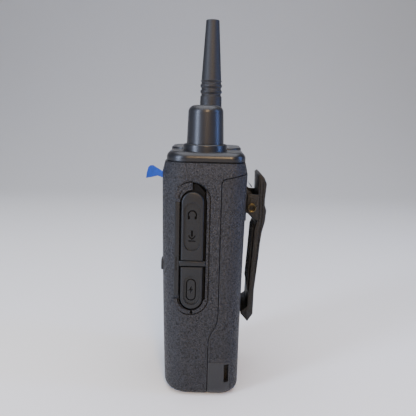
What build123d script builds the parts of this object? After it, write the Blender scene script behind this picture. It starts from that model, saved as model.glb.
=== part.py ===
from build123d import *
from math import radians, tan
import os

# Handheld two-way radio, in millimetres. +Z is up and the front faces -Y. The origin is the
# middle of the flat base. The accessory sockets are on the +X side, the talk button on -X.

# Body: the front and rear faces lean and bow a little, so each has a foot, a bow and a top.
body_width = 55.0
body_height = 118.0
front_foot, front_bow, front_top = 17.7, 0.45, 20.0
rear_foot, rear_bow, rear_top = 18.5, -0.38, 20.2
front_corner = 12.0
rear_corner = 9.0
foot_radius = 5.0
wall = 2.0
half_width = body_width / 2
floor_thickness = wall + 0.4
cavity_over = 5.0        # the hollow runs on past the housing's open top

# Clearances
fit = 0.1            # between pieces that stay together
run = 0.3            # between pieces that move past each other
turn = 0.05          # radial, between a shaft and its bore
cell_slack = 0.01    # behind the cells, at their lower end
hair = 0.01          # stops a full round, and finds an edge by its place
reach = 40.0         # how far a cut runs past the skin

# Deck: the smooth cap over the housing, with a knob ring and an antenna plinth
deck_thickness = 4.3
deck_inset = 1.7
deck_shift = 0.3
deck_round = 3.1
gasket_thickness = 0.6
gasket_inset = 2.5
shoulder_drop = 5.2
shoulder_inset = 1.25
skirt_drop = 1.5 * shoulder_drop     # the shoulder's slope, carried on outside the skin
collar_drop = 1.4 * shoulder_drop
deck_low = body_height - deck_thickness
housing_top = deck_low - gasket_thickness
deck_pocket = 2.0
deck_wall = 2.5 * wall
pipe_radius, pipe_from_front = 1.2, 6.0

# Volume knob
knob_from_side = 13.5
knob_y = -0.2
knob_base_radius = 8.7
knob_top_radius = 8.05
knob_length = 18.3
knob_round = 3.2
knob_foot_round = 0.4
knob_floor = 4.0
ring_lip = 1.5
ring_height = 3.2
ring_taper, ring_round = 0.25, 0.8
knob_well = 0.9
shaft_radius = 3.0
shaft_length = 23.0
encoder_size = 13.0
encoder_depth = 6.5
bushing_radius = 4.5
insert_radius = 4.4
insert_length = 10.0
insert_floor = 1.5
ring_radius = knob_base_radius + ring_lip
knob_x = half_width - knob_from_side
ring_top = body_height + ring_height
knob_low = ring_top - knob_well + run
insert_low = knob_low + knob_floor
shaft_top = insert_low + insert_length - insert_floor

# Antenna
antenna_from_side = 13.5
antenna_y = 1.9
antenna_length = 60.0
antenna_foot_radius = 5.9
antenna_collar = 22.4
antenna_neck_radius = 5.07
antenna_tip_radius = 3.33
groove_pitch = 2.95
groove_height = 1.9
groove_depth = 0.5
ridge_radius = 5.5
groove_count = 3
neck_step = 0.3
tip_round = 0.45
plinth_width, plinth_depth, plinth_height, plinth_shift = 30.0, 34.6, 0.8, 4.5
plinth_corner = 8.0
plinth_round = 0.7
boss_radius, boss_height, boss_round = 6.6, 2.2, 0.5
stud_radius = 3.2
stud_length = 9.5
ferrule_radius, ferrule_length = 4.0, 5.6
socket_radius = 5.2
socket_depth = 10.5
element_radius = 1.5
element_stop = 4.0
antenna_x = antenna_from_side - half_width
boss_top = body_height + plinth_height + boss_height
antenna_low = boss_top + run

# Battery seam, seen from the side: two upright runs joined by a step, and a sloping top
seam_upper_y = 7.9
seam_lower_y = 3.5
step_top_z, step_low_z = 41.6, 26.6
seam_slope = 12.0
seam_top_gap = 7.25      # from the housing's top edge down to the seam at its front corner
seam_corner = 2.5
ledge_thickness = 3.4
seam_top_z = housing_top - seam_top_gap

# Display, keys and grille on the front
lens_width, lens_height, lens_thickness = 35.0, 36.0, 1.2
lens_drop = 5.1
lens_y = -19.4
lens_corner = 3.0
window_margin = 2.5
pad_y, pad_thickness, pad_width = -18.3, 1.9, 42.0
pad_low_z, pad_corner = 54.0, 3.0
front_cut_y = -14.0      # openings in the front wall are cut back to here
film_thickness, film_margin = 0.25, 0.5
tab_thickness, tab_width = 0.3, 4.0
tab_low_drop, tab_height, tab_root_height = 2.8, 3.6, 1.0
lcd_depth, lcd_margin = 3.0, 1.2
lens_top_z = housing_top - lens_drop
lens_low_z = lens_top_z - lens_height
key_width, key_height, key_pitch, key_count = 7.6, 5.4, 9.6, 4
key_z = 63.0
key_proud = 0.7
key_travel = 0.8
key_corner, key_flange_corner, key_round = 1.3, 1.5, 0.4
flange_margin, flange_thickness = 0.65, 0.8
membrane_thickness, membrane_margin = 1.0, 2.0
speaker_radius, speaker_depth, speaker_z = 17.0, 7.6, 36.0
magnet_radius, basket_depth = 0.62 * speaker_radius, speaker_depth / 3
mesh_thickness = 0.4
slot_height, slot_pitch, slot_rows = 1.6, 4.0, 7
slot_margin = 5.0
microphone_radius, microphone_depth, microphone_x, microphone_z = 3.0, 2.4, 8.0, 12.0
port_radius = 0.6

# Side keys on -X: talk button and two round-ended keys
side_key_y = -3.0
side_key_width = 11.0
talk_low_z, talk_height, talk_proud, talk_travel = 60.0, 33.0, 1.3, 1.2
small_key_height, small_key_proud = 8.0, 0.9
side_key_round = 0.6
side_key_corner = 2.6    # the short side over the corner radius
upper_key_z, lower_key_z = 53.0, 42.0

# Accessory bay on +X: a round-ended recess with two flaps that hinge on a middle bar
bay_y = -4.7
bay_radius = 6.2
bay_low_z = 43.7
bay_top_drop = 12.0
bay_depth = 3.3
bay_backing = 1.9
border_y = -5.4
border_radius = 8.6
border_low_z = 41.5
border_top_drop = 8.1
border_groove_width, border_groove_depth = 0.6, 0.8
strip_low_z, strip_top_drop, strip_depth = 51.0, 9.7, 1.2
tab_low_y, tab_high_y = -5.3, 1.1
hinge_bar_z, hinge_bar_height = 66.6, 2.6
anchor_step = 0.2
flap_proud = 0.4
plug_radius, plug_depth, plug_root = 2.3, 1.0, 0.5
well_radius = 3.6
headset_z, microphone_jack_z, usb_z = 89.6, 80.0, 54.0
headset_bore, microphone_bore = 3.5, 2.5
jack_radius, jack_length, jack_hole_depth = 3.2, 12.5, 11.5
jack_foot = 2.4
usb_open_length, usb_open_width, usb_shell = 8.94, 3.26, 0.35
usb_depth = 7.4
usb_clear = 2.2
usb_plug_clear = 0.4 * usb_clear
tongue_half, tongue_back, tongue_inset = 0.35, 0.6, 1.1
bay_top_z = housing_top - bay_top_drop
border_top_z = housing_top - border_top_drop
bay_floor_x = half_width - bay_depth

# Boards inside
board_width, board_low_z, board_y, board_thickness = 37.0, 8.0, 0.0, 1.2
board_top_drop = 9.0
jack_board_thickness, jack_board_over = 1.0, 1.2
shield_width, shield_height, shield_depth, shield_sheet = 32.0, 34.0, 3.4, 0.4
chassis_thickness, chassis_foot_gap, chassis_top_gap = 1.8, 0.6, 0.5
post_x_inset, post_radius, post_hole = 5.5, 2.4, 1.0
post_low_z, post_top_drop = 12.0, 15.0
post_front_y, post_hole_front_y = -13.0, -11.0
screw_head_radius, screw_head_height, screw_length = 1.9, 1.2, 8.0
contact_radius, contact_pitch, contact_count, contact_z = 1.0, 6.0, 4, 60.0

# Battery
battery_wall = 1.5
lid_thickness, lid_top_drop = 1.4, 1.5
terminal_thickness, terminal_extra = 0.7, 0.4
cell_low_z, cell_gap, cell_top_drop = 44.0, 1.0, 5.0
cell_past_corner, cell_round = 1.7, 1.5
charge_radius, charge_pitch, charge_z = 1.5, 6.0, 24.0
latch_plate_y, latch_plate_z, latch_plate_thickness = 14.35, 17.5, 1.5
latch_slot_low_y, latch_slot_high_y = 11.5, 13.7
latch_slot_low_z, latch_slot_high_z = 7.5, 16.6
latch_pocket_low_y, latch_pocket_high_y = 9.2, 15.0
latch_half_width = 19.5
latch_thickness = 1.2
latch_pin_y, latch_pin_z, latch_pin_radius = 12.5, 14.8, 0.9
latch_boss_radius = 1.8
latch_low_z, latch_tongue, latch_end_gap = 0.7, 1.6, 0.5
latch_pin_reach, latch_pin_end = 2.4, 2.0
latch_side_block, latch_web, latch_pocket_over, slot_depth = 3.5, 1.4, 3.0, 3.0
latch_spring_outer, latch_spring_inner, latch_spring_share = 1.3, 0.9, 0.6
battery_floor_z = latch_plate_z + battery_wall + 1.2

# Belt clip on the battery's back
clip_pivot_y, clip_pivot_z = 23.0, 90.8
clip_pin_radius = 1.1
clip_width = 24.0
clip_cheek = 1.7
bracket_gap = 0.4
ear_thickness = 1.8
ear_foot = 3.0
bracket_plate, bracket_root = 1.0, 2.0
bracket_drop, bracket_rise = 6.8, 9.6
pin_head_radius, pin_head_thickness = 2.25, 0.5
clip_spring_radius, clip_spring_length = 1.9, 12.0
loop_length, loop_width, loop_lean = 8.4, 2.9, 92.0
loop_y, loop_z = 0.6, 10.2               # from the pin
ear_room_y, ear_room_low, ear_room_high = 2.6, 7.2, 5.4
root_room_y, root_room_high = 1.6, 11.5


from_end = (Align.CENTER, Align.CENTER, Align.MIN)
pieces = {}


def depth_at(z, foot, bow, top):
    share = z / body_height
    return foot + (top - foot) * share + 4 * bow * share * (1 - share)


def front_at(z):
    return -depth_at(z, front_foot, front_bow, front_top)


def rear_at(z):
    return depth_at(z, rear_foot, rear_bow, rear_top)


def block(x, y, z):
    """Box between pairs of limits."""
    size = [high - low for low, high in (x, y, z)]
    return Pos(x[0], y[0], z[0]) * Box(*size, align=(Align.MIN,) * 3)


def rod_x(radius, x, y, z):
    """Round bar along X between two limits, at a height and depth."""
    return Pos(x[0], y, z) * Rot(0, 90, 0) * Cylinder(radius, x[1] - x[0], align=from_end)


def rod_y(radius, y, x, z):
    return Pos(x, y[1], z) * Rot(90, 0, 0) * Cylinder(radius, y[1] - y[0], align=from_end)


def rod_z(radius, z, x, y):
    return Pos(x, y, z[0]) * Cylinder(radius, z[1] - z[0], align=from_end)


def prism_x(sketch, x):
    """Side-view sketch, drawn as (Y, Z), made solid between two X limits."""
    return Pos(x[0], 0, 0) * extrude(Plane.YZ * sketch, amount=x[1] - x[0], dir=(1, 0, 0))


def stadium(y, radius, low, high):
    """Upright round-ended outline in the side view."""
    return Pos(y, (low + high) / 2) * SlotOverall(high - low, 2 * radius, rotation=90)


def rounded_bar_y(width, height, corner, y, x, z):
    """Rounded rectangle facing the front, made solid between two Y limits."""
    face = Plane.XZ * Pos(x, z) * RectangleRounded(width, height, corner)
    return Pos(0, y[1], 0) * extrude(face, amount=y[1] - y[0])


def body_form(inset, low, high, foot=True):
    """The body between two heights, inset all round from its outer skin."""
    levels = (low, (low + high) / 2, high)
    front = [(front_at(z) + inset, z) for z in levels]
    rear = [(rear_at(z) - inset, z) for z in reversed(levels)]
    outline = Wire([
        ThreePointArc(*front), Line(front[2], rear[0]),
        ThreePointArc(*rear), Line(rear[2], front[0]),
    ])
    half = half_width - inset
    form = prism_x(Face(outline), (-half, half))
    for side, radius in ((-1, front_corner), (1, rear_corner)):
        uprights = [
            edge for edge in form.edges()
            if low + fit < edge.center().Z < high - fit and side * edge.center().Y > 0
            and abs(edge.center().X) > half - hair
        ]
        form = fillet(uprights, radius - inset)
    if foot:
        form = fillet(form.faces().sort_by(Axis.Z)[0].edges(), foot_radius - inset)
    return form


def section(inset, z):
    """The body's outline at one height, as a face."""
    return body_form(inset, z - 1, z, foot=False).faces().sort_by(Axis.Z)[-1]


def behind_seam(shift):
    """Everything behind the battery seam. A positive shift moves the seam forward and up."""
    upper, lower = seam_upper_y - shift, seam_lower_y - shift
    middle = ((upper + lower) / 2, (step_top_z + step_low_z) / 2)
    back = rear_top + reach / 2
    under = -foot_radius
    corner = (upper, seam_top_z + shift)
    far = (back, corner[1] + tan(radians(seam_slope)) * (back - upper))
    outline = Wire([
        Line((lower, under), (lower, step_low_z)),
        TangentArc((lower, step_low_z), middle, tangent=(0, 1)),
        TangentArc((upper, step_top_z), middle, tangent=(0, -1)),
        Line((upper, step_top_z), corner), Line(corner, far),
        Line(far, (back, under)), Line((back, under), (lower, under)),
    ])
    form = prism_x(Face(outline), (-body_width, body_width))
    nose = [
        edge for edge in form.edges().filter_by(Axis.X)
        if abs(edge.center().Y - upper) < hair and abs(edge.center().Z - corner[1]) < hair
    ]
    return fillet(nose, seam_corner)


# Housing

def lens_recess(margin, y):
    """The display window's rounded outline, grown by a margin, between two Y limits."""
    middle = (lens_top_z + lens_low_z) / 2
    return rounded_bar_y(
        lens_width + 2 * margin, lens_height + 2 * margin, lens_corner + min(margin, 0),
        y, 0, middle)


def key_places():
    first = -(key_count - 1) * key_pitch / 2
    return [first + index * key_pitch for index in range(key_count)]


def bay_outline(gap):
    """The recess that the flaps fill, pulled in by a gap: a stadium with a finger tab at each end."""
    main = stadium(bay_y, bay_radius - gap, bay_low_z + gap, bay_top_z - gap)
    border = stadium(border_y, border_radius - border_groove_width - gap,
                     border_low_z + border_groove_width + gap, border_top_z - border_groove_width - gap)
    width = tab_high_y - tab_low_y - 2 * gap
    middle = (tab_high_y + tab_low_y) / 2
    top_tab = Pos(middle, bay_top_z) * Rectangle(width, 2 * bay_radius)
    low_tab = Pos(middle, bay_low_z) * Rectangle(width, bay_radius)
    return main + (border & top_tab) + (border & low_tab)


def jack_places():
    return ((headset_z, headset_bore), (microphone_jack_z, microphone_bore))


def screw_places():
    """X, height and chassis face of each housing screw."""
    x = half_width - post_x_inset
    high = housing_top - post_top_drop
    return [(side * x, z, y) for side in (-1, 1)
            for z, y in ((post_low_z, seam_lower_y), (high, seam_upper_y))]


def make_front_housing():
    outer = body_form(0, 0, housing_top)
    skirt = loft([section(shoulder_inset, housing_top),
                  section(-shoulder_inset / 2, housing_top - skirt_drop)], ruled=True)
    collar = block((-body_width, body_width), (-reach, reach),
                   (housing_top - collar_drop, housing_top + 1))
    shell = outer - (collar - skirt) - behind_seam(run / 2)
    cavity = body_form(wall, floor_thickness, housing_top + cavity_over)
    ledge = block((-body_width, body_width), (seam_upper_y, reach),
                  (0, seam_top_z + ledge_thickness))
    shell -= cavity - ledge
    pads = rounded_bar_y(pad_width, housing_top - pad_low_z, pad_corner,
                         (pad_y, pad_y + pad_thickness), 0, (housing_top + pad_low_z) / 2)
    pads += prism_x(stadium(border_y, border_radius + 1, border_low_z - 1, border_top_z + 1),
                    (bay_floor_x - bay_backing, half_width - wall / 2))
    for x, z, y in screw_places():
        pads += rod_y(post_radius, (post_front_y, y - run / 2 - chassis_thickness), x, z)
    shell += pads & body_form(wall / 2, wall / 2, housing_top)

    shell -= lens_recess(fit, (-reach, lens_y + lens_thickness))
    shell -= lens_recess(-window_margin, (-reach, 0))
    for x in key_places():
        shell -= rounded_bar_y(key_width + 2 * run, key_height + 2 * run, key_flange_corner,
                               (-reach, front_cut_y), x, key_z)
    for row in range(slot_rows):
        rise = (row - (slot_rows - 1) / 2) * slot_pitch
        length = 2 * (speaker_radius ** 2 - rise ** 2) ** 0.5 - slot_margin
        shell -= rounded_bar_y(length, slot_height, slot_height / 2 - hair,
                               (-reach, front_cut_y), 0, speaker_z + rise)
    shell -= rod_y(port_radius, (-reach, front_cut_y), microphone_x, microphone_z)

    shell -= prism_x(bay_outline(0), (bay_floor_x, half_width + 1))
    groove = stadium(border_y, border_radius, border_low_z, border_top_z) - stadium(
        border_y, border_radius - border_groove_width,
        border_low_z + border_groove_width, border_top_z - border_groove_width)
    shell -= prism_x(groove, (half_width - border_groove_depth, half_width + 1)) - behind_seam(run)
    shell -= strip_pocket(0)
    for z, _ in jack_places():
        shell -= rod_x(well_radius, (bay_floor_x - bay_backing - 1, half_width), bay_y, z)
    opening = stadium(bay_y, usb_open_width / 2 + usb_clear,
                      usb_z - usb_open_length / 2 - usb_clear, usb_z + usb_open_length / 2 + usb_clear)
    shell -= prism_x(opening, (bay_floor_x - bay_backing - 1, half_width))

    for low, high in side_key_spans():
        shell -= side_key_form(low - run, high + run, side_key_width + 2 * run,
                               (-half_width - 1, -half_width + 2 * wall))
    for x, z, _ in screw_places():
        shell -= rod_y(post_hole, (post_hole_front_y, seam_upper_y), x, z)
    return shell


def strip_pocket(gap):
    """Shallow seat beside the flaps for the smooth strip."""
    y = (border_y - border_radius + border_groove_width + gap, bay_y - bay_radius + 1)
    return block((half_width - strip_depth, half_width + 1), y,
                 (strip_low_z + gap, border_top_z - strip_top_drop - gap))


def side_key_spans():
    half = small_key_height / 2
    return [(talk_low_z, talk_low_z + talk_height),
            (upper_key_z - half, upper_key_z + half), (lower_key_z - half, lower_key_z + half)]


def side_key_form(low, high, width, x):
    corner = min(width, high - low) / side_key_corner
    face = Pos(side_key_y, (low + high) / 2) * RectangleRounded(width, high - low, corner)
    return prism_x(face, x)


# Deck, knob and antenna

def make_top_deck():
    deck = Pos(0, deck_shift, 0) * body_form(deck_inset, deck_low, body_height, foot=False)
    deck = fillet(deck.faces().sort_by(Axis.Z)[-1].edges(), deck_round)
    ring = Pos(knob_x, knob_y, body_height - deck_thickness / 2) * Cone(
        ring_radius + ring_taper, ring_radius, ring_height + deck_thickness / 2, align=from_end)
    ring = fillet(ring.edges().filter_by(GeomType.CIRCLE).sort_by(Axis.Z)[-1], ring_round)
    plinth = Pos(antenna_x + plinth_shift, deck_shift, body_height - 1) * extrude(
        RectangleRounded(plinth_width, plinth_depth, plinth_corner), amount=plinth_height + 1)
    plinth = fillet(plinth.faces().sort_by(Axis.Z)[-1].edges(), plinth_round)
    boss = rod_z(boss_radius, (body_height, boss_top), antenna_x, antenna_y)
    boss = fillet(boss.edges().filter_by(GeomType.CIRCLE).sort_by(Axis.Z)[-1], boss_round)
    deck += ring + plinth + boss
    deck -= rod_z(knob_base_radius + run, (ring_top - knob_well, ring_top + 1), knob_x, knob_y)
    deck -= rod_z(bushing_radius, (deck_low - 1, ring_top), knob_x, knob_y)
    deck -= rod_z(socket_radius, (deck_low - 1, boss_top + 1), antenna_x, antenna_y)
    pocket = body_form(deck_wall, deck_low - 1, deck_low + deck_pocket, foot=False)
    keep = rod_z(socket_radius + 2, (deck_low - 2, body_height), antenna_x, antenna_y)
    deck -= pocket - keep
    deck -= light_pipe(deck_low - 1)
    return deck


def light_pipe(low):
    """Clear bar that carries the status light to the top of the deck, midway along its front edge."""
    return rod_z(pipe_radius, (low, body_height + fit), 0, front_at(body_height) + pipe_from_front)


def make_deck_gasket():
    outer = Pos(0, deck_shift / 2, 0) * body_form(gasket_inset, housing_top, deck_low, foot=False)
    return outer - body_form(deck_wall, housing_top - 1, deck_low + 1, foot=False)


def make_knob():
    low, high = knob_low, knob_low + knob_length
    profile = Polygon((0, low), (knob_base_radius, low), (knob_top_radius, high), (0, high), align=None)
    knob = revolve(Plane.XZ * profile, Axis.Z)
    rims = knob.edges().filter_by(GeomType.CIRCLE).sort_by(Axis.Z)
    knob = fillet(rims[-1], knob_round)
    knob = fillet(knob.edges().filter_by(GeomType.CIRCLE).sort_by(Axis.Z)[0], knob_foot_round)
    knob -= rod_z(bushing_radius + 1, (low - 1, insert_low), 0, 0)
    knob -= rod_z(insert_radius, (low - 1, insert_low + insert_length), 0, 0)
    return Pos(knob_x, knob_y, 0) * knob


def make_knob_insert():
    sleeve = rod_z(insert_radius, (insert_low, insert_low + insert_length), knob_x, knob_y)
    return sleeve - rod_z(shaft_radius, (insert_low - 1, shaft_top), knob_x, knob_y)


def make_encoder_shaft():
    return rod_z(shaft_radius, (shaft_top - shaft_length, shaft_top), knob_x, knob_y)


def make_volume_encoder():
    top = deck_low + deck_pocket
    half = encoder_size / 2
    body = block((knob_x - half, knob_x + half), (knob_y - half, knob_y + half), (top - encoder_depth, top))
    body += rod_z(bushing_radius - fit, (top, ring_top - knob_well - run), knob_x, knob_y)
    shaft_bore = rod_z(shaft_radius + turn, (shaft_top - shaft_length - run, ring_top), knob_x, knob_y)
    return body - shaft_bore


def make_antenna_whip():
    """Tapered rubber whip with three ring grooves above a plain foot."""
    low = antenna_low
    collar = low + antenna_collar
    tip = low + antenna_length
    outline = [Line((0, low), (antenna_foot_radius, low)),
               Line((antenna_foot_radius, low), (ridge_radius, collar))]
    z = collar
    for index in range(groove_count):
        outline.append(ThreePointArc(
            (ridge_radius, z), (ridge_radius - groove_depth, z + groove_height / 2),
            (ridge_radius, z + groove_height)))
        z += groove_height
        if index < groove_count - 1:
            outline.append(Line((ridge_radius, z), (ridge_radius, z + groove_pitch - groove_height)))
            z += groove_pitch - groove_height
    outline += [Line((ridge_radius, z), (antenna_neck_radius, z + neck_step)),
                Line((antenna_neck_radius, z + neck_step), (antenna_tip_radius, tip)),
                Line((antenna_tip_radius, tip), (0, tip)), Line((0, tip), (0, low))]
    whip = revolve(Plane.XZ * Face(Wire(outline)), Axis.Z)
    whip = fillet(whip.edges().filter_by(GeomType.CIRCLE).sort_by(Axis.Z)[-1], tip_round)
    whip -= rod_z(ferrule_radius + turn, (low - 1, low + ferrule_length + run), 0, 0)
    whip -= rod_z(element_radius, (low, tip - element_stop), 0, 0)
    return Pos(antenna_x, antenna_y, 0) * whip


def make_antenna_element():
    low = antenna_low + ferrule_length + run
    return rod_z(element_radius, (low, antenna_low + antenna_length - element_stop), antenna_x, antenna_y)


def make_antenna_stud():
    stud = rod_z(stud_radius, (boss_top - stud_length, antenna_low), antenna_x, antenna_y)
    return stud + rod_z(ferrule_radius, (antenna_low, antenna_low + ferrule_length), antenna_x, antenna_y)


def make_antenna_socket():
    low = boss_top - socket_depth
    sleeve = rod_z(socket_radius - fit, (low, boss_top), antenna_x, antenna_y)
    return sleeve - rod_z(stud_radius + turn, (low - 1, boss_top + 1), antenna_x, antenna_y)


# Front pieces

pad_back = pad_y + pad_thickness
film_y = lens_y - film_thickness


def make_film_pull_tab():
    """Stiff tab stuck to the film's edge, standing forward off the display in a loose curl."""
    low = lens_top_z - tab_low_drop
    high = low + tab_height
    leaf = Polygon(
        (film_y, low + 0.1), (film_y - 2.4, low), (film_y - 5.2, low + 0.9), (film_y - 7.9, low - 0.2),
        (film_y - 6.7, low + 5.1), (film_y - 4.9, low + 5.6), (film_y - 1.6, high + 0.1),
        (film_y, low + tab_root_height), align=None)
    x = lens_width / 2 - film_margin
    tab = prism_x(leaf, (x - tab_thickness, x))
    return tab + block((x - tab_width, x), (film_y - tab_thickness, film_y),
                       (low + fit, low + tab_root_height))


def make_lcd_module():
    return lens_recess(lcd_margin - window_margin, (pad_back, pad_back + lcd_depth))


def make_menu_key(x):
    back = pad_back + run
    cap = rounded_bar_y(key_width, key_height, key_corner,
                        (front_at(key_z) - key_proud, back), x, key_z)
    flange = rounded_bar_y(
        key_width + 2 * flange_margin, key_height + 2 * flange_margin, key_flange_corner,
        (back, back + flange_thickness), x, key_z)
    cap = fillet(cap.faces().sort_by(Axis.Y)[0].edges(), key_round)
    return cap + flange


def make_keypad_membrane():
    front = pad_back + 2 * run + flange_thickness + key_travel
    width = key_places()[-1] - key_places()[0] + key_width + 2 * flange_margin
    return rounded_bar_y(width, key_height + 2 * membrane_margin, key_flange_corner,
                         (front, front + membrane_thickness), 0, key_z)


speaker_y = front_at(speaker_z - speaker_radius) + wall + fit


def make_speaker_mesh():
    return rod_y(speaker_radius, (speaker_y, speaker_y + mesh_thickness), 0, speaker_z)


def make_speaker():
    front = speaker_y + mesh_thickness
    basket = rod_y(speaker_radius, (front, front + basket_depth), 0, speaker_z)
    return basket + rod_y(magnet_radius, (front, front + speaker_depth), 0, speaker_z)


def make_microphone():
    front = front_at(microphone_z - microphone_radius) + wall + fit
    return rod_y(microphone_radius, (front, front + microphone_depth), microphone_x, microphone_z)


def make_side_key(low, high, proud):
    inner = -half_width + wall + run
    cap = side_key_form(low, high, side_key_width, (-half_width - proud, inner))
    cap = fillet(cap.faces().sort_by(Axis.X)[0].edges(), side_key_round)
    margin = flange_margin
    return cap + side_key_form(
        low - margin, high + margin, side_key_width + 2 * margin, (inner, inner + flange_thickness))


def make_side_key_membrane():
    front = -half_width + wall + 2 * run + flange_thickness + talk_travel
    low = lower_key_z - small_key_height / 2 - 1
    high = talk_low_z + talk_height + 1
    return side_key_form(low, high, side_key_width + 1, (front, front + membrane_thickness))


# Accessory bay pieces

def make_cover_anchor():
    """Smooth strip beside the flaps, one piece with the bar that both flaps hinge on."""
    low = hinge_bar_z - hinge_bar_height / 2
    band = (low, low + hinge_bar_height)
    bar = prism_x(bay_outline(fit), (bay_floor_x, half_width + anchor_step))
    bar &= block((0, body_width), (-reach, reach), band)
    strip = strip_pocket(fit)
    strip &= block((0, half_width - anchor_step), (-reach, bay_y - bay_radius), (0, body_height))
    left = border_y - border_radius + border_groove_width + fit
    link = block((half_width - strip_depth, half_width - anchor_step), (left, bay_y), band)
    return bar + strip + link


def flap_blank(low, high):
    outer = half_width + flap_proud
    blank = prism_x(bay_outline(run), (bay_floor_x + run, outer))
    return blank & block((0, body_width), (-reach, reach), (low, high))


def make_headset_flap():
    low = hinge_bar_z + hinge_bar_height / 2 + run
    flap = flap_blank(low, body_height)
    for z, _ in jack_places():
        flap += rod_x(plug_radius, (bay_floor_x - plug_depth, bay_floor_x + run + plug_root), bay_y, z)
    return flap


def make_usb_flap():
    flap = flap_blank(0, hinge_bar_z - hinge_bar_height / 2 - run)
    half = usb_open_length / 2 + usb_plug_clear
    plug = stadium(bay_y, usb_open_width / 2 + usb_plug_clear, usb_z - half, usb_z + half)
    return flap + prism_x(plug, (bay_floor_x - plug_depth, bay_floor_x + run + plug_root))


socket_face_x = bay_floor_x - bay_backing
jack_board_y = bay_y + jack_radius


def make_jack(z, bore):
    barrel = rod_x(jack_radius, (socket_face_x - jack_length, socket_face_x), bay_y, z)
    foot = block((socket_face_x - jack_length, socket_face_x - 2), (bay_y, jack_board_y),
                 (z - jack_foot, z + jack_foot))
    return barrel + foot - rod_x(bore / 2, (socket_face_x - jack_hole_depth, socket_face_x + 1), bay_y, z)


def make_usb_c_socket():
    half_length, half_wide = usb_open_length / 2, usb_open_width / 2
    opening = stadium(bay_y, half_wide, usb_z - half_length, usb_z + half_length)
    case = stadium(bay_y, half_wide + usb_shell,
                   usb_z - half_length - usb_shell, usb_z + half_length + usb_shell)
    back = socket_face_x - usb_depth
    socket = prism_x(case, (back, socket_face_x))
    socket += block((back, socket_face_x - 1), (bay_y, jack_board_y),
                    (usb_z - half_length, usb_z + half_length))
    socket -= prism_x(opening, (back + 1, socket_face_x + 1))
    tongue = block((back, socket_face_x - tongue_back), (bay_y - tongue_half, bay_y + tongue_half),
                   (usb_z - half_length + tongue_inset, usb_z + half_length - tongue_inset))
    return socket + tongue


def make_jack_board():
    return block((socket_face_x - jack_length, socket_face_x - fit),
                 (jack_board_y, jack_board_y + jack_board_thickness),
                 (usb_z - usb_open_length, headset_z + jack_radius + jack_board_over))


# Boards and chassis

def make_main_board():
    return block((-board_width / 2, board_width / 2), (board_y, board_y + board_thickness),
                 (board_low_z, housing_top - board_top_drop))


def make_shield_can():
    back = board_y + board_thickness
    half, low = shield_width / 2, contact_z + contact_radius + 1
    can = block((-half, half), (back, back + shield_depth), (low, low + shield_height))
    return can - block((-half + shield_sheet, half - shield_sheet),
                       (back - 1, back + shield_depth - shield_sheet),
                       (low + shield_sheet, low + shield_height - shield_sheet))


def contact_places():
    first = -(contact_count - 1) * contact_pitch / 2
    return [first + index * contact_pitch for index in range(contact_count)]


def make_chassis():
    """Cast plate that closes the housing and follows the battery seam."""
    half = half_width - wall - fit
    plate = behind_seam(run / 2 + chassis_thickness) - behind_seam(run / 2)
    plate &= block((-half, half), (-reach, seam_upper_y),
                   (wall + chassis_foot_gap, seam_top_z - chassis_top_gap))
    plate &= body_form(wall + fit, floor_thickness + fit, housing_top)
    for x in contact_places():
        plate -= rod_y(contact_radius + fit, (-reach, reach), x, contact_z)
    for x, z, y in screw_places():
        plate -= rod_y(post_hole + fit, (-reach, reach), x, z)
        plate -= rod_y(screw_head_radius + fit, (y - run / 2 - screw_head_height, reach), x, z)
    return plate


def make_housing_screws():
    screws = []
    for x, z, y in screw_places():
        seat = y - run / 2 - screw_head_height
        screw = rod_y(screw_head_radius, (seat, seat + screw_head_height - fit), x, z)
        screws.append(screw + rod_y(post_hole, (seat - screw_length, seat), x, z))
    return Compound(children=screws)


def make_battery_contacts():
    back = board_y + board_thickness
    return Compound(children=[
        rod_y(contact_radius, (back, seam_upper_y - run / 2), x, contact_z) for x in contact_places()])


# Battery

def make_battery_shell():
    shell = body_form(0, 0, housing_top) & behind_seam(-run / 2)
    inner = body_form(battery_wall, battery_wall, housing_top) & block(
        (-body_width, body_width), (-reach, reach), (battery_floor_z, housing_top))
    shell -= inner & behind_seam(-run / 2 - battery_wall)
    shell -= lid_form(0)
    half = half_width - latch_side_block
    shell -= block((-half, half),
                   (seam_lower_y + run / 2 + battery_wall, latch_pocket_low_y - latch_web),
                   (foot_radius / 2, battery_floor_z + 1))
    for side in (-1, 1):
        shell -= latch_plate_block(side, fit)
        x = sorted((side * (half_width - latch_plate_thickness - slot_depth), side * half_width))
        shell -= block(x, (latch_slot_low_y, latch_slot_high_y), (latch_slot_low_z, latch_slot_high_z))
    half = latch_half_width + latch_end_gap
    shell -= block((-half, half), (latch_pocket_low_y, latch_pocket_high_y),
                   (-1, latch_pin_z + latch_pocket_over))
    half += latch_pin_end
    shell -= rod_x(latch_pin_radius, (-half, half), latch_pin_y, latch_pin_z)
    for x in charge_places():
        shell -= rod_y(charge_radius, (rear_at(charge_z) - battery_wall - 1, reach), x, charge_z)
    return shell


def lid_form(gap):
    """The battery's front wall between the latch block and the top corner, pulled in by a gap."""
    half = half_width - battery_wall - gap
    band = behind_seam(-run / 2) - behind_seam(-run / 2 - lid_thickness)
    return band & block((-half, half), (-reach, reach),
                        (battery_floor_z + gap, seam_top_z - seam_corner - lid_top_drop - gap))


def latch_plate_block(side, gap):
    x = sorted((side * (half_width - latch_plate_thickness - gap), side * (half_width + 1)))
    return block(x, (0, latch_plate_y + gap), (-1, latch_plate_z + gap))


def charge_places():
    return [index * charge_pitch for index in (-1, 0, 1)]


def make_battery_lid():
    lid = lid_form(fit)
    for x in contact_places():
        lid -= rod_y(contact_radius + terminal_extra,
                     (seam_upper_y - 1, seam_upper_y + run / 2 + terminal_thickness), x, contact_z)
    return lid


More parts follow.
